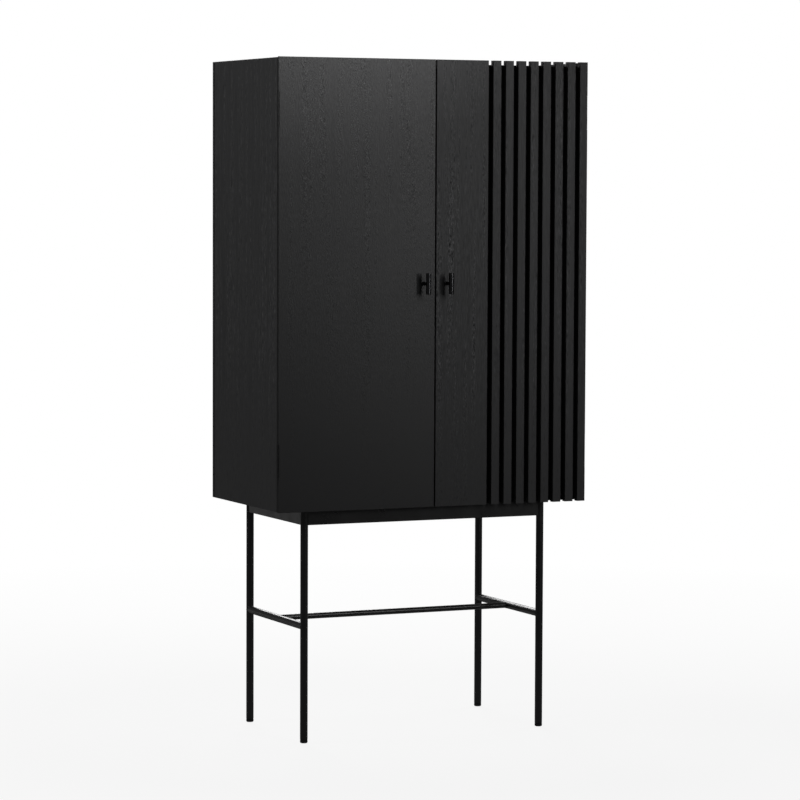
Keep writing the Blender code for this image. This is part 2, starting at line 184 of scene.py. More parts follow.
def drawn_out(tree, place, length):
    """A texture place where marks are this many times as long as wide."""
    return out_of(tree, "ShaderNodeMapping", {"Vector": place, "Scale": (1, 1, 1 / length)})


print("mid grey in linear light:", round(linear("#808080")[0], 4))

# %% [markdown]
# ## Floor, background and light
# The photograph is a cut-out on white. Here the floor and the world are white to the
# camera, while the lamps alone set the light on the cabinet. Reflections see only a small
# share of that white, because all of it would turn the black wood grey. The floor keeps
# some plain diffuse white in its mix, so that the stand still casts a soft shadow.
# The knobs' shadows fall to the left and down, which puts the main lamp above and to
# the right of the camera.

# %% White floor and world
FLOOR_REACH = 60.0
SHADOW_REACH = (0.9, 3.5)   # the floor is plain white further than this from the cabinet
FLOOR_GLOW = 0.88           # share of plain white near the cabinet, the rest takes shadows
FLOOR_GREYS = ("#7a7a7a", "#f6f6f6")    # the floor's paint to bounced light, and to the camera
PAPER_IN_GLOSS = 0.05       # how much of the white shows in reflections
STUDIO_GREY = 0.04
WHITE = (1, 1, 1, 1)


def white_paper_share(tree):
    """Where a ray sees the white paper: camera and clear rays fully, glossy rays in part."""
    path = add_node(tree, "ShaderNodeLightPath").outputs
    gloss = calculated(tree, "MULTIPLY", path["Is Glossy Ray"], PAPER_IN_GLOSS)
    seen = calculated(tree, "MAXIMUM", path["Is Camera Ray"], path["Is Transmission Ray"])
    return calculated(tree, "MAXIMUM", seen, gloss)


def emptied(owner):
    """The node tree of a material or a world, with nothing in it."""
    owner.use_nodes = True
    owner.node_tree.nodes.clear()
    return owner.node_tree


floor_work = bmesh.new()
bmesh.ops.create_grid(floor_work, x_segments=1, y_segments=1, size=FLOOR_REACH)
floor = linked("floor", written(floor_work, "floor"))

floor_paint = bpy.data.materials.new("white_studio_floor")
tree = emptied(floor_paint)
seen = white_paper_share(tree)
place = add_node(tree, "ShaderNodeTexCoord").outputs["Object"]
away = add_node(tree, "ShaderNodeVectorMath", {0: place}, operation="LENGTH").outputs["Value"]
share = calculated(tree, "MULTIPLY", seen, ramp(tree, away, *SHADOW_REACH, FLOOR_GLOW))
matt = out_of(tree, "ShaderNodeBsdfDiffuse", {"Color": blend(tree, seen, *FLOOR_GREYS)})
glow = out_of(tree, "ShaderNodeEmission", {"Color": WHITE, "Strength": 1.0})
mixed = out_of(tree, "ShaderNodeMixShader", {0: share, 1: matt, 2: glow})
add_node(tree, "ShaderNodeOutputMaterial", {"Surface": mixed})
floor.data.materials.append(floor_paint)

world = bpy.data.worlds.new("studio")
bpy.context.scene.world = world
tree = emptied(world)
seen = white_paper_share(tree)
room = out_of(tree, "ShaderNodeBackground", {"Color": WHITE, "Strength": STUDIO_GREY})
paper = out_of(tree, "ShaderNodeBackground", {"Color": WHITE, "Strength": 1.0})
mixed = out_of(tree, "ShaderNodeMixShader", {0: seen, 1: room, 2: paper})
add_node(tree, "ShaderNodeOutputWorld", {"Surface": mixed})
bpy.context.scene.view_settings.view_transform = "Standard"
print("floor and world are white to the camera")

# %% [markdown]
# The key lamp lights the doors, and a narrow spot beside it gives their upper ends the
# brighter band. The strip shows as a line in the knobs, and the side box lights the left
# side. The low card is there for the left rail, which mirrors it. The last two light the back
# and the right side, which the photograph doesn't show.

# %% Lamps
# Name, place, aim, width, height, beam angle and watts of each lamp
SOFT_BOXES = (
    ("key_box", (0.80, -2.90, 2.60), (-0.18, -0.19, 1.72), 1.0, 0.9, 76, 3.1),
    ("top_spot", (0.80, -2.90, 2.60), (-0.21, -0.19, 2.07), 0.12, 0.12, 26, 1.2),
    ("strip_box", (1.30, -2.80, 1.50), (0.42, -0.20, 1.06), 0.3, 1.1, 60, 1.05),
    ("side_box", (-3.00, 0.60, 2.50), (-0.40, 0.00, 1.50), 1.2, 1.6, 100, 9.3),
    ("low_card", (-1.46, 2.75, 0.22), (-0.31, 0.02, 0.53), 0.6, 0.3, 180, 0.19),
    ("back_box", (0.60, 3.20, 2.20), (0.0, 0.20, 1.10), 1.6, 1.6, 180, 50.0),
    ("right_box", (3.00, 1.20, 1.80), (0.40, 0.00, 1.10), 1.2, 2.0, 180, 20.0),
)

for name, place, aim, width, height, beam, watts in SOFT_BOXES:
    lamp_data = bpy.data.lights.new(name, "AREA")
    lamp_data.shape = "RECTANGLE"
    lamp_data.size = width
    lamp_data.size_y = height
    lamp_data.spread = math.radians(beam)
    lamp_data.energy = watts
    lamp = linked(name, lamp_data)
    lamp.location = place
    lamp.rotation_euler = (Vector(aim) - Vector(place)).to_track_quat("-Z", "Y").to_euler()
    print(name, watts, "W")

# %% [markdown]
# ## Black-stained oak
# The boards are oak veneer under a thin black stain and a matt lacquer. The stain
# leaves the open pores: short upright dashes in clusters along the growth rings, darker
# than the wood where they are deep. Their rims carry a painted highlight, a lighter colour
# where they would catch the light. A solid texture suits it, because noise that is
# stretched along the grain gives streaks on every face of a board. The figure is calmer
# towards the foot of the cabinet. Attributes on each board keep neighbours from sharing one
# figure: a shift, a tone, the contrast of the grain, how short its dashes are, how matt the
# lacquer is, and the grain's share in the upper part. The right door's boards and slats
# have a lighter tone, partly their own and partly painted light for the brighter light on
# that door.

# %% Oak finish
PORE_MM = 1.6               # real pores are about 0.3 mm; drawn wider so that they show
PORE_LENGTH = 10.0          # length of a pore dash for each unit of width, and so on below
STREAK_MM = 2.6
STREAK_LENGTH = 20.0
RING_MM = 16.0
RING_LENGTH = 45.0
RING_SHARE = 0.35           # how much the growth rings show beside the streaks
WANDER_MM = 90.0
WANDER_LENGTH = 5.0
WANDER_DEPTH = 0.007
CALM_FOOT = (0.62, 1.00)    # levels between which the figure grows from calm to full
CALM_SHARE = 0.12
UPPER_LEVELS = (1.10, 1.45)     # levels between which a board's own share sets in
EARLY_WOOD = (0.44, 0.60)   # noise values between which each part of the figure sets in
PORE_NOISE = (0.58, 0.70)
RIM_GLINT_NOISE = (0.41, 0.31)
FIGURE_NOISE = (0.30, 0.70)
STREAK_STAINS = ("#2a2a2b", "#353536")
MEAN_STAIN = "#2f2f30"
PORE_STAIN = "#212122"
# painted highlight: the pore rims are lighter, standing for the light they catch
RIM_GLINT_COLOUR = "#4c4c4d"
STREAK_ROUGHNESS = (0.50, 0.42)
PORE_ROUGHNESS = 0.25       # added in the pores
GRAIN_DEPTH = 0.0003
GRAIN_RELIEF = 0.5


def new_finish(name):
    """A new material with its tree, its shader and the place on the object."""
    finish = bpy.data.materials.new(name)
    finish.use_nodes = True
    tree = finish.node_tree
    place = add_node(tree, "ShaderNodeTexCoord").outputs["Object"]
    return finish, tree, tree.nodes["Principled BSDF"], place


def oak_finish(name, along_x=False):
    """Black-stained open-pored oak, with its grain upright or along X."""
    finish, tree, shader, place = new_finish(name)

    def mark(label, output="Fac"):
        """A value that the board carries."""
        return add_node(tree, "ShaderNodeAttribute", attribute_name="board_" + label).outputs[output]

    level = add_node(tree, "ShaderNodeSeparateXYZ", {0: place}).outputs["Z"]
    foot = ramp(tree, level, *CALM_FOOT, CALM_SHARE, interpolation_type="SMOOTHSTEP")
    head = ramp(tree, level, *UPPER_LEVELS, 1.0, mark("upper"), interpolation_type="SMOOTHSTEP")
    strength = calculated(tree, "MULTIPLY", foot, head)
    place = vectors(tree, "ADD", place, mark("shift", "Vector"))
    if along_x:
        place = out_of(tree, "ShaderNodeMapping", {"Vector": place, "Rotation": (0, math.radians(90), 0)})

    wander = noise(tree, drawn_out(tree, place, WANDER_LENGTH), WANDER_MM, detail=1.0)["Color"]
    wander = vectors(tree, "SUBTRACT", wander, (0.5, 0.5, 0.5))
    wander = vectors(tree, "MULTIPLY", wander, (WANDER_DEPTH, WANDER_DEPTH, 0))
    place = vectors(tree, "ADD", place, wander)
    shorter = out_of(tree, "ShaderNodeCombineXYZ", {"X": 1.0, "Y": 1.0, "Z": mark("dash")})
    cut = vectors(tree, "MULTIPLY", place, shorter)

    rings = noise(tree, drawn_out(tree, place, RING_LENGTH), RING_MM, detail=2.0)["Fac"]
    streaks = noise(tree, drawn_out(tree, cut, STREAK_LENGTH), STREAK_MM, detail=3.0, Roughness=0.6)["Fac"]
    dashes = noise(tree, drawn_out(tree, cut, PORE_LENGTH), PORE_MM, detail=1.0)["Fac"]
    early_wood = ramp(tree, rings, *EARLY_WOOD)
    pores = calculated(tree, "MULTIPLY", ramp(tree, dashes, *PORE_NOISE), early_wood)
    rim_glints = calculated(tree, "MULTIPLY", ramp(tree, dashes, *RIM_GLINT_NOISE), early_wood)
    figure = calculated(tree, "MULTIPLY_ADD", rings, RING_SHARE, streaks)
    figure = ramp(tree, figure, *(value + 0.5 * RING_SHARE for value in FIGURE_NOISE))

    stain = blend(tree, figure, *STREAK_STAINS)
    stain = blend(tree, pores, stain, PORE_STAIN)
    # painted highlight: lighter pore rims, where they would catch the light
    stain = blend(tree, rim_glints, stain, RIM_GLINT_COLOUR)
    grain = calculated(tree, "MULTIPLY", mark("grain"), strength)
    stain = blend(tree, grain, MEAN_STAIN, stain, clamp_factor=False, clamp_result=True)
    # the board's tone; on the right door's boards and slats it is raised, partly as painted light for the
    # brighter light on that door
    stain = out_of(tree, "ShaderNodeVectorMath", {0: stain, "Scale": mark("tone")}, operation="SCALE")
    tree.links.new(stain, shader.inputs["Base Color"])

    gloss = ramp(tree, figure, 0.0, 1.0, *STREAK_ROUGHNESS)
    gloss = calculated(tree, "MULTIPLY_ADD", pores, PORE_ROUGHNESS, gloss)
    gloss = calculated(tree, "ADD", gloss, mark("matt"))
    tree.links.new(gloss, shader.inputs["Roughness"])
    height = calculated(tree, "MULTIPLY_ADD", pores, -1.0, figure)
    relief = calculated(tree, "MULTIPLY", foot, GRAIN_RELIEF)
    bump = out_of(tree, "ShaderNodeBump", {"Height": height, "Strength": relief, "Distance": GRAIN_DEPTH})
    tree.links.new(bump, shader.inputs["Normal"])
    shader.inputs["IOR"].default_value = 1.5
    shader.inputs["Specular IOR Level"].default_value = 0.5
    return finish


UPRIGHT_OAK = oak_finish("black_stained_oak_upright")
CROSS_OAK = oak_finish("black_stained_oak_lengthways", along_x=True)
print("oak finishes:", UPRIGHT_OAK.name, CROSS_OAK.name)

# %% [markdown]
# ## The plainer finishes
# Shelves, backings and the back are board with a black melamine face, which has a fine
# pebbled print. The ground behind the slats is made near black, darker than the melamine,
# as painted shade in the gaps between the slats. The stand is steel under black powder
# coat, whose grains melt into a faint orange peel, and the knobs are steel with a satin
# black nickel plating. Screws, pegs and strike plates have black zinc, and the feet and
# catches are moulded nylon. They share one recipe with their own sizes: a fine noise for
# the relief, and a broad one for uneven gloss and colour.

# %% Board, painted gap shade, coat, plating and nylon
FINE_RELIEF = 0.3
BOTH_NOISES = (0.7, 1.3)    # values of the two noises' sum between which the colour changes
PATCH_NOISE = (0.3, 0.7)


def fine_finish(name, dark, light, grain_mm, patch_mm, gloss_range, relief_depth, metallic=0.0,
                specular=0.5):
    """A plain finish with a fine relief and broad patches of colour and gloss."""
    finish, tree, shader, place = new_finish(name)
    grain = noise(tree, place, grain_mm, detail=2.0)["Fac"]
    patch = noise(tree, place, patch_mm, detail=3.0)["Fac"]
    both = ramp(tree, calculated(tree, "ADD", grain, patch), *BOTH_NOISES)
    tree.links.new(blend(tree, both, dark, light), shader.inputs["Base Color"])
    tree.links.new(ramp(tree, patch, *PATCH_NOISE, *gloss_range), shader.inputs["Roughness"])
    bump = out_of(tree, "ShaderNodeBump", {"Height": grain, "Strength": FINE_RELIEF,
                                           "Distance": relief_depth})
    tree.links.new(bump, shader.inputs["Normal"])
    shader.inputs["Metallic"].default_value = metallic
    shader.inputs["Specular IOR Level"].default_value = specular
    return finish


MELAMINE = fine_finish("black_melamine_board", "#161617", "#1c1c1d", 1.5, 60.0, (0.55, 0.65), 0.0001,
                       specular=0.3)
# painted shade: the ground behind the slats is near black, standing for the shade in the gaps
GAP_SHADE_BLACK = fine_finish("near_black_painted_gap_shade", "#080808", "#0c0c0d", 1.5, 40.0, (0.75, 0.85), 0.0001,
                           specular=0.15)
BLACK_NICKEL = fine_finish("black_nickel_steel", "#4c4c4e", "#565658", 1.5, 20.0, (0.14, 0.18), 0.000001,
                           metallic=1.0)
POWDER_COAT = fine_finish("black_powder_coat", "#121213", "#19191a", 1.2, 40.0, (0.27, 0.35), 0.0001,
                          specular=0.7)
BLACK_ZINC = fine_finish("black_zinc_steel", "#3a3a3c", "#4a4a4c", 0.8, 12.0, (0.34, 0.46), 0.00005,
                         metallic=1.0)
NYLON = fine_finish("black_moulded_nylon", "#151516", "#1b1b1c", 1.0, 15.0, (0.50, 0.60), 0.00006)
print("plain finishes made")

# %% [markdown]
# ## Finishes for the CAD nodes
# Every node takes a finish by its material slot. Small pieces whose shape is right, such
# as the hinge leaves, stay as they are after this; the others are replaced below.

# %% Finishes by slot
UPRIGHT_BOARDS = ("left_side_panel", "right_side_panel", "left_door_board", "right_door_board")
SLOT_FINISHES = {"inside_board": MELAMINE, "steel": POWDER_COAT, "zinc": BLACK_ZINC, "nylon": NYLON}
SLOTS = {name: node.data.materials[0].name for name, node in NODES.items()}


def finish_for(name):
    """The finish of a CAD node, by its material slot."""
    # painted shade: the backing behind the slats takes the near-black gap shade
    if name == "right_door_backing":
        return GAP_SHADE_BLACK
    if SLOTS[name] != "oak":
        return SLOT_FINISHES[SLOTS[name]]
    upright = name in UPRIGHT_BOARDS or "slat" in name
    return UPRIGHT_OAK if upright else CROSS_OAK


for name, node in NODES.items():
    finish = finish_for(name)
    node.data.materials.clear()
    node.data.materials.append(finish)
print("slots:", sorted(set(SLOTS.values())))

# %% [markdown]
# ## Putting a piece on its body
# A finished mesh becomes an object at the origin and rides on the body of the node that it
# stands for. Shading is smooth with crisp edges kept by angle.

# %% Piece helpers
SAME_POINT = 1e-6           # points closer than this are merged
FLAT = math.radians(0.5)    # faces that meet at less than this become one


def add_piece(name, mesh, finish, body, slot, *nodes):
    """Make a piece of a mesh, put it on its body and let it stand for CAD nodes."""
    mesh.name = name
    mesh.materials.clear()
    mesh.materials.append(finish)
    piece = linked(name, mesh)
    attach(piece, body)
    if nodes:
        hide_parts(*nodes)
    return piece


def measured(name):
    """The lowest and highest corner of a CAD node, and the middle between them."""
    low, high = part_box(name)
    return low, high, (low + high) / 2


def body_of(name):
    """The body that a CAD node rides on."""
    return NODES[name]["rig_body"]


def settled(thing):
    """The plain mesh of an object after its modifiers, and the object removed."""
    bpy.context.view_layer.update()
    ready = thing.evaluated_get(bpy.context.evaluated_depsgraph_get())
    mesh = bpy.data.meshes.new_from_object(ready)
    bpy.data.objects.remove(thing)
    return mesh


def smooth(mesh, degrees):
    """Smooth shading with an edge kept sharp where its faces meet at more than an angle."""
    mesh.shade_smooth()
    mesh.set_sharp_from_angle(angle=math.radians(degrees))
    return mesh


def weighted(mesh):
    """Smooth shading that keeps large faces flat beside small roundings."""
    thing = linked("shading", smooth(mesh, degrees=50))
    shading = thing.modifiers.new("large_faces_first", "WEIGHTED_NORMAL")
    shading.keep_sharp = True
    return settled(thing)


def cut_away(mesh, cutter, crossed=False):
    """A mesh with another mesh cut out of it; crossed is for a cutter that runs through itself."""
    whole = linked("whole", mesh)
    knife = linked("cutter", cutter)
    cut = whole.modifiers.new("cut", "BOOLEAN")
    cut.object = knife
    cut.use_self = crossed
    rest = settled(whole)
    bpy.data.objects.remove(knife)
    return rest


def boxes(*matrices):
    """A bmesh of plain boxes, each a cube of 1 m under its matrix."""
    work = bmesh.new()
    for matrix in matrices:
        bmesh.ops.create_cube(work, size=1.0, matrix=matrix)
    return work


def merged_copy(name):
    """A bmesh of a CAD node with its loose triangles joined and flat faces whole."""
    work = bmesh.new()
    work.from_mesh(NODES[name].data)
    bmesh.ops.remove_doubles(work, verts=work.verts, dist=SAME_POINT)
    bmesh.ops.dissolve_limit(work, angle_limit=FLAT, verts=work.verts, edges=work.edges)
    return work


print("body of the left door's board:", body_of("left_door_board"))

# %% [markdown]
# ## Boards
# Veneered boards are cut square, and their edges are sanded by hand before the stain, so
# light runs along them in a thin line. The CAD boards have the recesses and holes already,
# so a merged copy of each gets a small rounding on its long edges only. Bevelling every
# edge would also eat into the hinge recesses. A dark line runs down the sides close to the
# back edge, where the back meets them, and a Boolean cuts it as a narrow groove.

# %% Round the boards
BOARD_EDGE = 0.0008
EASED_EDGE = 0.0003         # boards whose edges are chamfered already
LONG_EDGE = 0.060
SHARP = math.radians(30)
EASED_BOARDS = ("right_door_board", "top_panel", "bottom_panel", "shelf_1", "shelf_2")
SQUARE_BOARDS = ("left_side_panel", "right_side_panel", "left_door_board", "right_door_slat_8",
                 "left_door_backing", "right_door_backing", "back_panel")
# Tone, contrast of the grain, shortening of its dashes, added roughness, the grain's share above
LOOK_NAMES = ("board_tone", "board_grain", "board_dash", "board_matt", "board_upper")
PLAIN_LOOK = (1.0, 1.0, 1.0, 0.0, 1.0)
SIDE_LOOK = (0.97, 2.1, 1.1, 0.15, 0.75)
BOARD_LOOKS = {
    "left_door_board": (1.00, 0.6, 5.0, -0.05, 3.2),
    # tones on the right door are partly painted light: lighter for the brighter light that falls on that
    # door
    "right_door_board": (1.17, 2.6, 2.0, 0.06, 0.3),
    "right_door_slat_8": (1.07, 1.0, 1.0, 0.11, 1.0),
    "left_side_panel": SIDE_LOOK,
    "right_side_panel": SIDE_LOOK,
}
BACK_STRIP = 0.0083         # width of the strip between the line and the back edge
BACK_LINE_WIDTH = 0.0042
BACK_LINE_DEPTH = 0.0040
FIGURE_SHIFT = 5            # how far a board's place in the figure may lie from its own, in metres
figure_seed = random.Random(11)


def rounded_board(name, edge, shortest=LONG_EDGE):
    """A copy of a CAD board with its long edges rounded."""
    work = merged_copy(name)
    chosen = []
    for line in work.edges:
        if line.is_manifold and line.calc_length() > shortest and line.calc_face_angle() > SHARP:
            chosen.append(line)
    bmesh.ops.bevel(work, geom=chosen, offset=edge, segments=3, profile=0.5, affect="EDGES",
                    clamp_overlap=False)
    return weighted(written(work, name)), len(chosen)


def with_back_line(mesh, name):
    """A side panel with a fine upright groove in its outer face, near the back edge."""
    low, high, centre = measured(name)
    outer = low.x if name.startswith("left") else high.x
    middle_y = high.y - BACK_STRIP - BACK_LINE_WIDTH / 2
    place = Matrix.Translation((outer, middle_y, centre.z))
    size = Matrix.Diagonal((2 * BACK_LINE_DEPTH, BACK_LINE_WIDTH, 2 * (high.z - low.z), 1.0))
    return weighted(cut_away(mesh, written(boxes(place @ size), "back_line")))


def mark_board(mesh, look):
    """Give a board its own place in the oak figure, and its own tone and grain."""
    shift = [figure_seed.uniform(-FIGURE_SHIFT, FIGURE_SHIFT) for axis in range(3)]
    shifts = mesh.attributes.new("board_shift", "FLOAT_VECTOR", "POINT")
    shifts.data.foreach_set("vector", shift * len(mesh.vertices))
    for name, value in zip(LOOK_NAMES, look):
        values = mesh.attributes.new(name, "FLOAT", "POINT")
        values.data.foreach_set("value", [value] * len(mesh.vertices))


for name in SQUARE_BOARDS + EASED_BOARDS:
    edge = EASED_EDGE if name in EASED_BOARDS else BOARD_EDGE
    mesh, count = rounded_board(name, edge)
    if name.endswith("side_panel"):
        mesh = with_back_line(mesh, name)
    mark_board(mesh, BOARD_LOOKS.get(name, PLAIN_LOOK))
    add_piece(name + "_dressed", mesh, finish_for(name), body_of(name), SLOTS[name], name)
    print(name, "edges rounded:", count)

# %% [markdown]
# ## The run of slats
# Seven of the eight slats are the same stick at an even pitch; the eighth has the mitred
# corner and was dressed as a board. A repeated stick is a job for Geometry Nodes: a
# rectangle with filleted corners is swept up a line, and instances of it stand on a row of
# points. Each instance stores its own tone and shift, so that no two slats show the same wood.
# Their tones run lighter than the left door's, partly as painted light for the brighter light
# on the right door.


# %% Geometry Nodes helpers
def new_group(name, **sockets):
    """A Geometry Nodes tree with named inputs: the tree, their identifiers and their values inside."""
    tree = bpy.data.node_groups.new(name, "GeometryNodeTree")
    identifiers = {}
    for label, kind in sockets.items():
        socket = tree.interface.new_socket(label, in_out="INPUT", socket_type="NodeSocket" + kind)
        identifiers[label] = socket.identifier
    tree.interface.new_socket("Geometry", in_out="OUTPUT", socket_type="NodeSocketGeometry")
    return tree, identifiers, add_node(tree, "NodeGroupInput").outputs


def close_group(tree, geometry, finish):
    """End a tree with real geometry in its material."""
    real = out_of(tree, "GeometryNodeRealizeInstances", {"Geometry": geometry})
    painted = out_of(tree, "GeometryNodeSetMaterial", {"Geometry": real, "Material": finish})
    add_node(tree, "NodeGroupOutput", {"Geometry": painted})


def grown(name, tree, identifiers, values, start_mesh):
    """Run a Geometry Nodes tree on a mesh and keep the plain result."""
    thing = linked(name, start_mesh)
    nodes = thing.modifiers.new(name, "NODES")
    nodes.node_group = tree
    for label, value in values.items():
        nodes[identifiers[label]] = value
    return settled(thing)


print("Geometry Nodes helpers ready")

# %% Slats by Geometry Nodes
SLAT_ARRIS = 0.0010
SLAT_SEED = 5
# random tones, raised partly as painted light for the brighter light on the right door
SLAT_TONES_AND_PAINTED_LIGHT = (1.08, 1.33)
SLAT_LOOK = (1.0, 1.3, 0.08, 1.0)       # as for the boards, after the tone
SLAT_NODES = [f"right_door_slat_{number}" for number in range(1, 8)]
first_low, first_high, first_middle = measured(SLAT_NODES[0])
SLAT_SIZE = first_high - first_low
SLAT_PITCH = measured(SLAT_NODES[1])[0].x - first_low.x

tree, slat_inputs, given = new_group("slat_run", Count="Int", Pitch="Float", Width="Float",
                                     Thickness="Float", Length="Float", Arris="Float", Start="Vector",
                                     Seed="Int", Finish="Material")
section = out_of(tree, "GeometryNodeCurvePrimitiveQuadrilateral", {"Width": given["Width"],
                                                                  "Height": given["Thickness"]})
section = out_of(tree, "GeometryNodeFilletCurve", {"Curve": section, "Count": 3, "Radius": given["Arris"]},
                 mode="POLY")
rise = out_of(tree, "ShaderNodeCombineXYZ", {"Z": given["Length"]})
line = out_of(tree, "GeometryNodeCurvePrimitiveLine", {"End": rise})
stick = out_of(tree, "GeometryNodeCurveToMesh", {"Curve": line, "Profile Curve": section,
                                                 "Fill Caps": True})
stride = out_of(tree, "ShaderNodeCombineXYZ", {"X": given["Pitch"]})
row = out_of(tree, "GeometryNodeMeshLine", {"Count": given["Count"], "Start Location": given["Start"],
                                            "Offset": stride})
run = out_of(tree, "GeometryNodeInstanceOnPoints", {"Points": row, "Instance": stick})
tone = add_node(tree, "FunctionNodeRandomValue", {2: SLAT_TONES_AND_PAINTED_LIGHT[0], 3: SLAT_TONES_AND_PAINTED_LIGHT[1],
                                                  "Seed": given["Seed"]}).outputs[1]
for name, value in zip(LOOK_NAMES, (tone, *SLAT_LOOK)):
    run = out_of(tree, "GeometryNodeStoreNamedAttribute", {"Geometry": run, "Name": name, "Value": value},
                 domain="INSTANCE")
shift = out_of(tree, "FunctionNodeRandomValue", {0: (-FIGURE_SHIFT,) * 3, 1: (FIGURE_SHIFT,) * 3,
                                                 "Seed": given["Seed"]}, data_type="FLOAT_VECTOR")
run = out_of(tree, "GeometryNodeStoreNamedAttribute", {"Geometry": run, "Name": "board_shift",
                                                       "Value": shift},
             data_type="FLOAT_VECTOR", domain="INSTANCE")
close_group(tree, run, given["Finish"])

slat_values = {"Count": len(SLAT_NODES), "Pitch": SLAT_PITCH, "Width": SLAT_SIZE.x,
               "Thickness": SLAT_SIZE.y, "Length": SLAT_SIZE.z, "Arris": SLAT_ARRIS, "Seed": SLAT_SEED,
               "Finish": UPRIGHT_OAK, "Start": (first_middle.x, first_middle.y, first_low.z)}
slat_mesh = grown("slat_run", tree, slat_inputs, slat_values, bpy.data.meshes.new("slat_run"))
slats = add_piece("right_door_slats", weighted(slat_mesh), UPRIGHT_OAK, "right_door", "oak", *SLAT_NODES)
print("slats:", len(SLAT_NODES), "pitch", round(SLAT_PITCH * 1000, 2), "mm, size", slats.dimensions)

# %% [markdown]
# ## Turned pieces
# Knobs, legs, feet and pegs are all turned or drawn round, so a profile of radius and
# height is spun about an axis. Blender's Spin leaves a seam and open poles, which merging the
# doubles closes. The corners of each profile are rounded by a few points on an arc.

# %% Lathe helper
UP = (0, 0, 1)
ARC_STEPS = 4


def round_corner(radius, height, reach, upper):
    """Points of a quarter round at the outer corner of a turned piece, low to high."""
    points = []
    for step in range(ARC_STEPS + 1):
        angle = math.radians(90) * step / ARC_STEPS
        if upper:
            points.append((radius - reach * (1 - math.cos(angle)), height - reach * (1 - math.sin(angle))))
        else:
            points.append((radius - reach * (1 - math.sin(angle)), height + reach * (1 - math.cos(angle))))
    return points


def turned(profile, place=(0, 0, 0), axis=UP, sides=48):
    """A closed turned mesh: a profile from pole to pole, spun and laid along an axis."""
    work = bmesh.new()
    points = [work.verts.new((radius, 0.0, height)) for radius, height in profile]
    lines = [work.edges.new(pair) for pair in zip(points, points[1:])]
    bmesh.ops.spin(work, geom=points + lines, cent=(0, 0, 0), axis=UP, angle=math.tau, steps=sides)
    bmesh.ops.remove_doubles(work, verts=work.verts, dist=SAME_POINT)
    bmesh.ops.recalc_face_normals(work, faces=work.faces)
    mesh = written(work, "turned")
    aim = Vector(UP).rotation_difference(Vector(axis)).to_matrix().to_4x4()
    mesh.transform(Matrix.Translation(Vector(place)) @ aim)
    return smooth(mesh, degrees=40)


def round_bar(radius, length, reach):
    """The profile of a plain bar with rounded rims, and a ring near each to keep its shading straight."""
    return [(0.0, 0.0), *round_corner(radius, 0.0, reach, False), (radius, 2 * reach),
            (radius, length - 2 * reach), *round_corner(radius, length, reach, True), (0.0, length)]


print("points in a bar's profile:", len(round_bar(0.006, 0.05, 0.0008)))

# %% [markdown]
# ## Knobs
# Each knob is a short upright bar on a stem, in steel with a satin black nickel plating: in
# the photograph a bright line runs down the bar, and its upper rim catches the lamp. The
# bar gets a rounded rim for that. The stem swells a little where it meets the door, as a
# turned collar does.

# %% Turn the knobs
SIDES = ("left", "right")
KNOB_RIM = 0.0009
COLLAR_FLARE = 0.0008
COLLAR_LENGTH = 0.0022
COLLAR_STEPS = ((1.0, 0.0), (1.0, 0.5), (0.4, 0.8), (0.0, 1.0))     # shares of flare and length

for side in SIDES:
    low, high, centre = measured(f"{side}_knob_bar")
    radius = (high.x - low.x) / 2
    mesh = turned(round_bar(radius, high.z - low.z, KNOB_RIM), (centre.x, centre.y, low.z))
    add_piece(f"{side}_knob_bar_turned", mesh, BLACK_NICKEL, f"{side}_door", "steel", f"{side}_knob_bar")

    low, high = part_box(f"{side}_knob_stem")
    radius = (high.x - low.x) / 2
    length = high.y - low.y
    collar = [(radius + COLLAR_FLARE * flare, COLLAR_LENGTH * rise) for flare, rise in COLLAR_STEPS]
    profile = [(0.0, 0.0), *collar, (radius, length), (0.0, length)]
    mesh = turned(profile, (centre.x, high.y, centre.z), (0, -1, 0), sides=32)
    add_piece(f"{side}_knob_stem_turned", mesh, BLACK_NICKEL, f"{side}_door", "steel", f"{side}_knob_stem")
    print(side, "knob at", tuple(round(value, 4) for value in centre))

# %% [markdown]
# ## The stand
# The legs and stretchers are drawn steel tube, the rails flat bar, all welded and then
# powder coated. Legs are turned anew with more sides than the CAD has, so that their outline
# stays round. The stretchers keep their hollowed ends, so a merged copy of each is
# shaded smooth, and the rails get rounded long edges as the boards did.

# %% Legs, rails and stretchers
LEG_RIM = 0.0004
RAIL_EDGE = 0.0010
CORNERS = [f"{depth}_{side}" for depth in ("front", "back") for side in SIDES]

for corner in CORNERS:
    low, high, centre = measured(corner + "_leg")
    radius = (high.x - low.x) / 2
    mesh = turned(round_bar(radius, high.z - low.z, LEG_RIM), (centre.x, centre.y, low.z))
    add_piece(corner + "_leg_drawn", mesh, POWDER_COAT, "cabinet", "steel", corner + "_leg")

for name in ("left_stretcher", "right_stretcher", "long_stretcher"):
    mesh = smooth(written(merged_copy(name), name), degrees=35)
    add_piece(name + "_drawn", mesh, POWDER_COAT, "cabinet", "steel", name)

for name in ("front_rail", "back_rail", "left_rail", "right_rail"):
    mesh, count = rounded_board(name, RAIL_EDGE)
    add_piece(name + "_dressed", mesh, POWDER_COAT, "cabinet", "steel", name)
    print(name, "edges rounded:", count)

# %% [markdown]
# ## Feet
# A moulded nylon glide is pressed into the end of each leg. It has a rounded lower rim and
# a fine groove under its flange, which shows as a dark line above the floor.

# %% Turn the feet
FOOT_RIM = 0.0030
GROOVE = 0.0006
GROOVE_STEPS = ((0.0, 2.4), (1.0, 2.0), (1.0, 1.0), (0.5, 0.0))     # inwards and down, in grooves

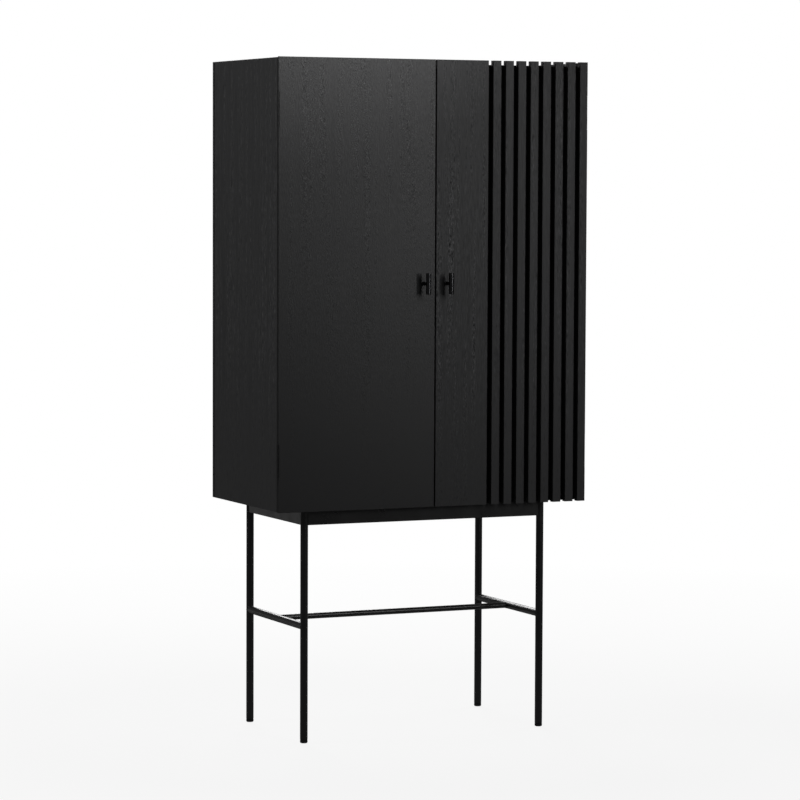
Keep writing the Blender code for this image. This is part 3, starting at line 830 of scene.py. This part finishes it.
for corner in CORNERS:
    name = corner + "_foot_glide"
    low, high, centre = measured(name)
    radius = (high.x - low.x) / 2
    tall = high.z - low.z
    groove = [(radius - GROOVE * inward, tall - GROOVE * down) for inward, down in GROOVE_STEPS]
    profile = [(0.0, 0.0), *round_corner(radius, 0.0, FOOT_RIM, False), *groove, (0.0, tall)]
    mesh = turned(profile, (centre.x, centre.y, low.z))
    add_piece(name + "_turned", mesh, NYLON, "cabinet", "nylon", name)
print("feet:", len(CORNERS))

# %% [markdown]
# ## Welds
# Under the coat a weld shows as a small bead round each joint, with the ripples that the
# torch leaves. The bead follows the line where two tubes meet, which is easy to calculate: a
# point on one tube, pushed along until it touches the other. Geometry Nodes sweep a circle
# along these lines and ripple its radius.

# %% Weld lines
BEAD_RADIUS = 0.0011
BEAD_STEPS = 36             # points round a tube
SEAT_STEPS = 8              # steps down a rail's face


def saddle(joint, along, across, inner, outer):
    """The closed line where a tube of radius inner, leaving along, meets a tube of radius outer."""
    along, across, joint = Vector(along), Vector(across), Vector(joint)
    third = along.cross(across)
    points = []
    for step in range(BEAD_STEPS):
        angle = math.tau * step / BEAD_STEPS
        off_axis = inner * math.cos(angle)
        reach = math.sqrt(max(outer ** 2 - off_axis ** 2, 0.0))
        points.append(joint + along * reach + third * off_axis + across * inner * math.sin(angle))
    return points, True


def rail_seat(joint, along, half, low, high, outer):
    """The open line where a flat rail meets a leg: down one face, round below, up the other."""
    along, joint = Vector(along), Vector(joint)
    third = along.cross(Vector(UP))
    reach = math.sqrt(outer ** 2 - half ** 2)
    points = []
    for face, (start, end) in ((half, (high, low)), (-half, (low, high))):
        for step in range(SEAT_STEPS + 1):
            level = start + (end - start) * step / SEAT_STEPS
            points.append(Vector((joint.x, joint.y, level)) + along * reach + third * face)
    return points, False


def half_of(name, axis):
    """Half the size of a CAD node along an axis, which is a tube's radius across it."""
    low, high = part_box(name)
    return (high[axis] - low[axis]) / 2


leg_radius = half_of("front_left_leg", 0)
side_radius = half_of("left_stretcher", 0)
long_radius = half_of("long_stretcher", 2)
rail_half = half_of("front_rail", 1)
rail_low, rail_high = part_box("front_rail")
level = measured("left_stretcher")[2].z
weld_lines = []
for corner in CORNERS:
    foot = measured(corner + "_leg")[2]
    inward = (0, 1, 0) if corner.startswith("front") else (0, -1, 0)
    across = (1, 0, 0) if corner.endswith("left") else (-1, 0, 0)
    weld_lines.append(saddle((foot.x, foot.y, level), inward, UP, side_radius, leg_radius))
    for along in (inward, across):
        weld_lines.append(rail_seat(foot, along, rail_half, rail_low.z + BEAD_RADIUS,
                                    rail_high.z - BEAD_RADIUS, leg_radius))
for side, along in (("left", (1, 0, 0)), ("right", (-1, 0, 0))):
    joint = (measured(side + "_stretcher")[2].x, measured("long_stretcher")[2].y, level)
    weld_lines.append(saddle(joint, along, (0, 1, 0), long_radius, side_radius))
print("weld lines:", len(weld_lines))

# %% Beads by Geometry Nodes
BEAD_SIDES = 10
BEAD_RIPPLE = 0.12

tree, bead_inputs, given = new_group("weld_bead", Lines="Geometry", Radius="Float", Ripple="Float",
                                     Finish="Material")
lines = out_of(tree, "GeometryNodeMeshToCurve", {"Mesh": given["Lines"]})
beat = calculated(tree, "MULTIPLY", out_of(tree, "GeometryNodeInputIndex"), math.pi / 2)
thick = calculated(tree, "MULTIPLY_ADD", calculated(tree, "SINE", beat), given["Ripple"], 1.0)
section = out_of(tree, "GeometryNodeCurvePrimitiveCircle", {"Resolution": BEAD_SIDES,
                                                           "Radius": given["Radius"]})
bead = out_of(tree, "GeometryNodeCurveToMesh", {"Curve": lines, "Profile Curve": section, "Scale": thick,
                                               "Fill Caps": True})
bead = out_of(tree, "GeometryNodeSetShadeSmooth", {"Geometry": bead})
close_group(tree, bead, given["Finish"])

line_points, line_edges = [], []
for points, closed in weld_lines:
    start = len(line_points)
    line_points += points
    line_edges += [(start + step, start + step + 1) for step in range(len(points) - 1)]
    if closed:
        line_edges.append((start + len(points) - 1, start))
line_mesh = bpy.data.meshes.new("weld_lines")
line_mesh.from_pydata(line_points, line_edges, [])
bead_mesh = grown("weld_beads", tree, bead_inputs, {"Radius": BEAD_RADIUS, "Ripple": BEAD_RIPPLE,
                                                   "Finish": POWDER_COAT}, line_mesh)
add_piece("stand_weld_beads", bead_mesh, POWDER_COAT, "cabinet", "steel")
print("weld bead faces:", len(bead_mesh.polygons))

# %% [markdown]
# ## Screws
# Countersunk screws hold the hinge leaves, the strike plates, the catches, the back and
# the stand. All share one head with a cross recess, cut once with a Boolean. A tree then sets
# an instance on every point, turned to face the way the point says, spun by a random
# angle and scaled to the point's size, because no two screws stop at the same angle.

# %% One screw head
HEAD_RADIUS = 0.0030        # the head is drawn at this size, and a point's size scales it
HEAD_NECK = 0.0016
HEAD_FOOT = -0.0012
HEAD_RIM = (-0.0001, 0.00004)
HEAD_CROWN = (0.9, 0.00009)     # share of the radius, and level
HEAD_CROSS = 1.15           # span of the cross for each unit of radius
CROSS_SHAPE = (1.0, 0.24, 0.5)      # length, width and height of a bar of the cross for each unit of span


def with_cross(mesh, top, span):
    """Cut a cross recess of this span into the upper end of a head that faces +Z."""
    size = Matrix.Diagonal((*(span * share for share in CROSS_SHAPE), 1.0))
    place = Matrix.Translation((0, 0, top))
    bars = [place @ Matrix.Rotation(math.radians(angle), 4, "Z") @ size for angle in (0, 90)]
    return cut_away(mesh, written(boxes(*bars), "cross"), crossed=True)


head_profile = [(0.0, HEAD_FOOT), (HEAD_NECK, HEAD_FOOT), *((HEAD_RADIUS, level) for level in HEAD_RIM),
                (HEAD_RADIUS * HEAD_CROWN[0], HEAD_CROWN[1]), (0.0, HEAD_CROWN[1])]
head_mesh = with_cross(turned(head_profile, sides=24), 0.0, HEAD_RADIUS * HEAD_CROSS)
print("faces of a screw head:", len(head_mesh.polygons))

# %% Screw tree
screw_tree, screw_inputs, given = new_group("screws_on_points", Points="Geometry", Head="Object",
                                            Seed="Int", Finish="Material")
facing = out_of(screw_tree, "GeometryNodeInputNamedAttribute", {"Name": "facing"}, data_type="FLOAT_VECTOR")
size = out_of(screw_tree, "GeometryNodeInputNamedAttribute", {"Name": "size"}, data_type="FLOAT")
aimed = out_of(screw_tree, "FunctionNodeAlignRotationToVector", {"Vector": facing}, axis="Z")
angle = add_node(screw_tree, "FunctionNodeRandomValue", {2: 0.0, 3: math.tau, "Seed": given["Seed"]},
                 data_type="FLOAT").outputs[1]
spin = out_of(screw_tree, "FunctionNodeAxisAngleToRotation", {"Axis": UP, "Angle": angle})
aimed = out_of(screw_tree, "FunctionNodeRotateRotation", {"Rotation": aimed, "Rotate By": spin},
               rotation_space="LOCAL")
head = add_node(screw_tree, "GeometryNodeObjectInfo", {"Object": given["Head"]}).outputs["Geometry"]
screws = out_of(screw_tree, "GeometryNodeInstanceOnPoints", {"Points": given["Points"], "Instance": head,
                                                            "Rotation": aimed, "Scale": size})
close_group(screw_tree, screws, given["Finish"])
print("screw tree nodes:", len(screw_tree.nodes))

# %% Where the screws go
HINGE_HEAD = 0.0026
BACK_HEAD = 0.0034
RAIL_HEAD = 0.0034
CATCH_HEAD = 0.0023
HINGE_SCREW_STEP = 0.027
HINGE_SCREW_INSET = 0.009   # from the leaf's far edge
LEAF_EDGE = 0.001           # corners this close to the far edge lie on the leaf's plate
BACK_SCREWS = 5
BACK_SCREW_INSET = (0.04, 0.010)    # in from the back's sides, and from its ends
RAIL_SCREW_SHARES = (0.2, 0.8)
CATCH_SCREW_INSET = 0.006
BACKWARDS = Vector((0, 1, 0))
DOWN = Vector((0, 0, -1))
screw_points = {"cabinet": [], "left_door": [], "right_door": []}

for side, sign in (("left", -1), ("right", 1)):
    for place in ("lower", "upper"):
        for leaf, body, across in (("door", f"{side}_door", 1), ("fixed", "cabinet", -1)):
            name = f"{side}_{place}_hinge_{leaf}_leaf"
            outward = Vector((sign, 1, 0)).normalized() * across
            along = Vector((-sign, 1, 0)).normalized()
            corners = [vertex.co for vertex in NODES[name].data.vertices]
            far = max(corner.dot(along) for corner in corners)
            plate = [corner for corner in corners if corner.dot(along) > far - LEAF_EDGE]
            face = max(corner.dot(outward) for corner in plate)
            for step in (-1, 0, 1):
                spot = along * (far - HINGE_SCREW_INSET) + outward * face
                spot.z = measured(name)[2].z + step * HINGE_SCREW_STEP
                screw_points[body].append((spot, outward, HINGE_HEAD))

low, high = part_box("back_panel")
inset_x, inset_z = BACK_SCREW_INSET
for number in range(BACK_SCREWS):
    x = low.x + inset_x + (high.x - low.x - 2 * inset_x) * number / (BACK_SCREWS - 1)
    for z in (low.z + inset_z, high.z - inset_z):
        screw_points["cabinet"].append((Vector((x, high.y, z)), BACKWARDS, BACK_HEAD))

for name, axis in (("front_rail", 0), ("back_rail", 0), ("left_rail", 1), ("right_rail", 1)):
    low, high, centre = measured(name)
    for share in RAIL_SCREW_SHARES:
        spot = Vector((centre.x, centre.y, low.z))
        spot[axis] = low[axis] + (high[axis] - low[axis]) * share
        screw_points["cabinet"].append((spot, DOWN, RAIL_HEAD))

for side in SIDES:
    high, centre = measured(f"{side}_strike_plate")[1:]
    screw_points[f"{side}_door"].append((Vector((centre.x, high.y, centre.z)), BACKWARDS, HINGE_HEAD))
    low, high, centre = measured(f"{side}_catch")
    for x in (low.x + CATCH_SCREW_INSET, high.x - CATCH_SCREW_INSET):
        screw_points["cabinet"].append((Vector((x, centre.y, low.z)), DOWN, CATCH_HEAD))
print("screws:", {body: len(points) for body, points in screw_points.items()})

# %% Set the screws
SCREW_SEED = 3
head_object = linked("screw_head", head_mesh)
for body, points in screw_points.items():
    spots = bpy.data.meshes.new(body + "_screw_points")
    spots.from_pydata([spot for spot, way, radius in points], [], [])
    ways = spots.attributes.new("facing", "FLOAT_VECTOR", "POINT")
    ways.data.foreach_set("vector", [value for spot, way, radius in points for value in way])
    sizes = spots.attributes.new("size", "FLOAT", "POINT")
    sizes.data.foreach_set("value", [radius / HEAD_RADIUS for spot, way, radius in points])
    values = {"Head": head_object, "Seed": SCREW_SEED, "Finish": BLACK_ZINC}
    mesh = grown(body + "_screws", screw_tree, screw_inputs, values, spots)
    add_piece(body + "_screws", mesh, BLACK_ZINC, body, "zinc")
bpy.data.objects.remove(head_object)
print("screw pieces:", len(screw_points))

# %% [markdown]
# ## Knob screws, pegs and catches
# A pan-head screw behind each door holds its knob. The shelves lie on turned steel pins with
# domed ends. Each catch is a nylon block whose two steel poles stand a hair proud of it,
# so that the strike plate on the door meets steel.

# %% Knob screws
SHANK_RADIUS = 0.0019
SEAT_GAP = 0.0003           # between the head and the back of the door
PAN_STEPS = ((1.0, 0.0), (1.0, 0.0010), (0.94, 0.0017), (0.8, 0.0023))  # share of radius, height
PAN_TOP = (0.55, 0.0001)    # share of the radius, and how far below the crown
PAN_CROSS = 1.05

for side in SIDES:
    name = f"{side}_knob_screw"
    low, high, centre = measured(name)
    wide = (high.x - low.x) / 2
    length = high.y - low.y
    back_of_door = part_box(f"{side}_door_backing")[1].y
    seat = length - (high.y - back_of_door) + SEAT_GAP
    pan = [(wide * share, seat + rise) for share, rise in PAN_STEPS]
    profile = [(0.0, 0.0), (SHANK_RADIUS, 0.0), (SHANK_RADIUS, seat), *pan,
               (wide * PAN_TOP[0], length - PAN_TOP[1]), (0.0, length)]
    mesh = with_cross(turned(profile, sides=32), length, wide * PAN_CROSS)
    lay_back = Matrix.Rotation(math.radians(-90), 4, "X")
    mesh.transform(Matrix.Translation((centre.x, low.y, centre.z)) @ lay_back)
    add_piece(name + "_turned", mesh, BLACK_ZINC, f"{side}_door", "zinc", name)
print("knob screw length:", round(length * 1000, 1), "mm")

# %% Shelf pegs
PEG_DOME = 0.0016
PEG_NODES = [name for name in NODES if "_peg_" in name]
for name in PEG_NODES:
    low, high, centre = measured(name)
    radius = (high.z - low.z) / 2
    profile = round_bar(radius, high.x - low.x, PEG_DOME)
    mesh = turned(profile, (low.x, centre.y, centre.z), (1, 0, 0), sides=24)
    add_piece(name + "_turned", mesh, BLACK_ZINC, "cabinet", "zinc", name)
print("pegs:", len(PEG_NODES))

# %% Catches and strike plates
CATCH_EDGE = 0.0003
STRIKE_EDGE = 0.0004
SHORT_EDGE = 0.005
POLE_SIZE = (0.0110, 0.0006, 0.0075)
POLE_EDGE = 0.0001
POLE_PROUD = 0.0001
POLE_SPACING = 0.016

for side in SIDES:
    mesh = rounded_board(f"{side}_catch", CATCH_EDGE, SHORT_EDGE)[0]
    add_piece(f"{side}_catch_dressed", mesh, NYLON, "cabinet", "nylon", f"{side}_catch")
    mesh = rounded_board(f"{side}_strike_plate", STRIKE_EDGE, SHORT_EDGE)[0]
    add_piece(f"{side}_strike_dressed", mesh, BLACK_ZINC, f"{side}_door", "zinc", f"{side}_strike_plate")
    low, high, centre = measured(f"{side}_catch")
    middle_y = low.y + POLE_SIZE[1] / 2 - POLE_PROUD
    size = Matrix.Diagonal((*POLE_SIZE, 1.0))
    middles = [centre.x + step * POLE_SPACING for step in (-0.5, 0.5)]
    work = boxes(*(Matrix.Translation((x, middle_y, centre.z)) @ size for x in middles))
    bmesh.ops.bevel(work, geom=list(work.edges), offset=POLE_EDGE, segments=2, profile=0.5, affect="EDGES")
    add_piece(f"{side}_catch_poles", written(work, "poles"), BLACK_ZINC, "cabinet", "zinc")
print("catch at", tuple(round(value, 4) for value in centre))
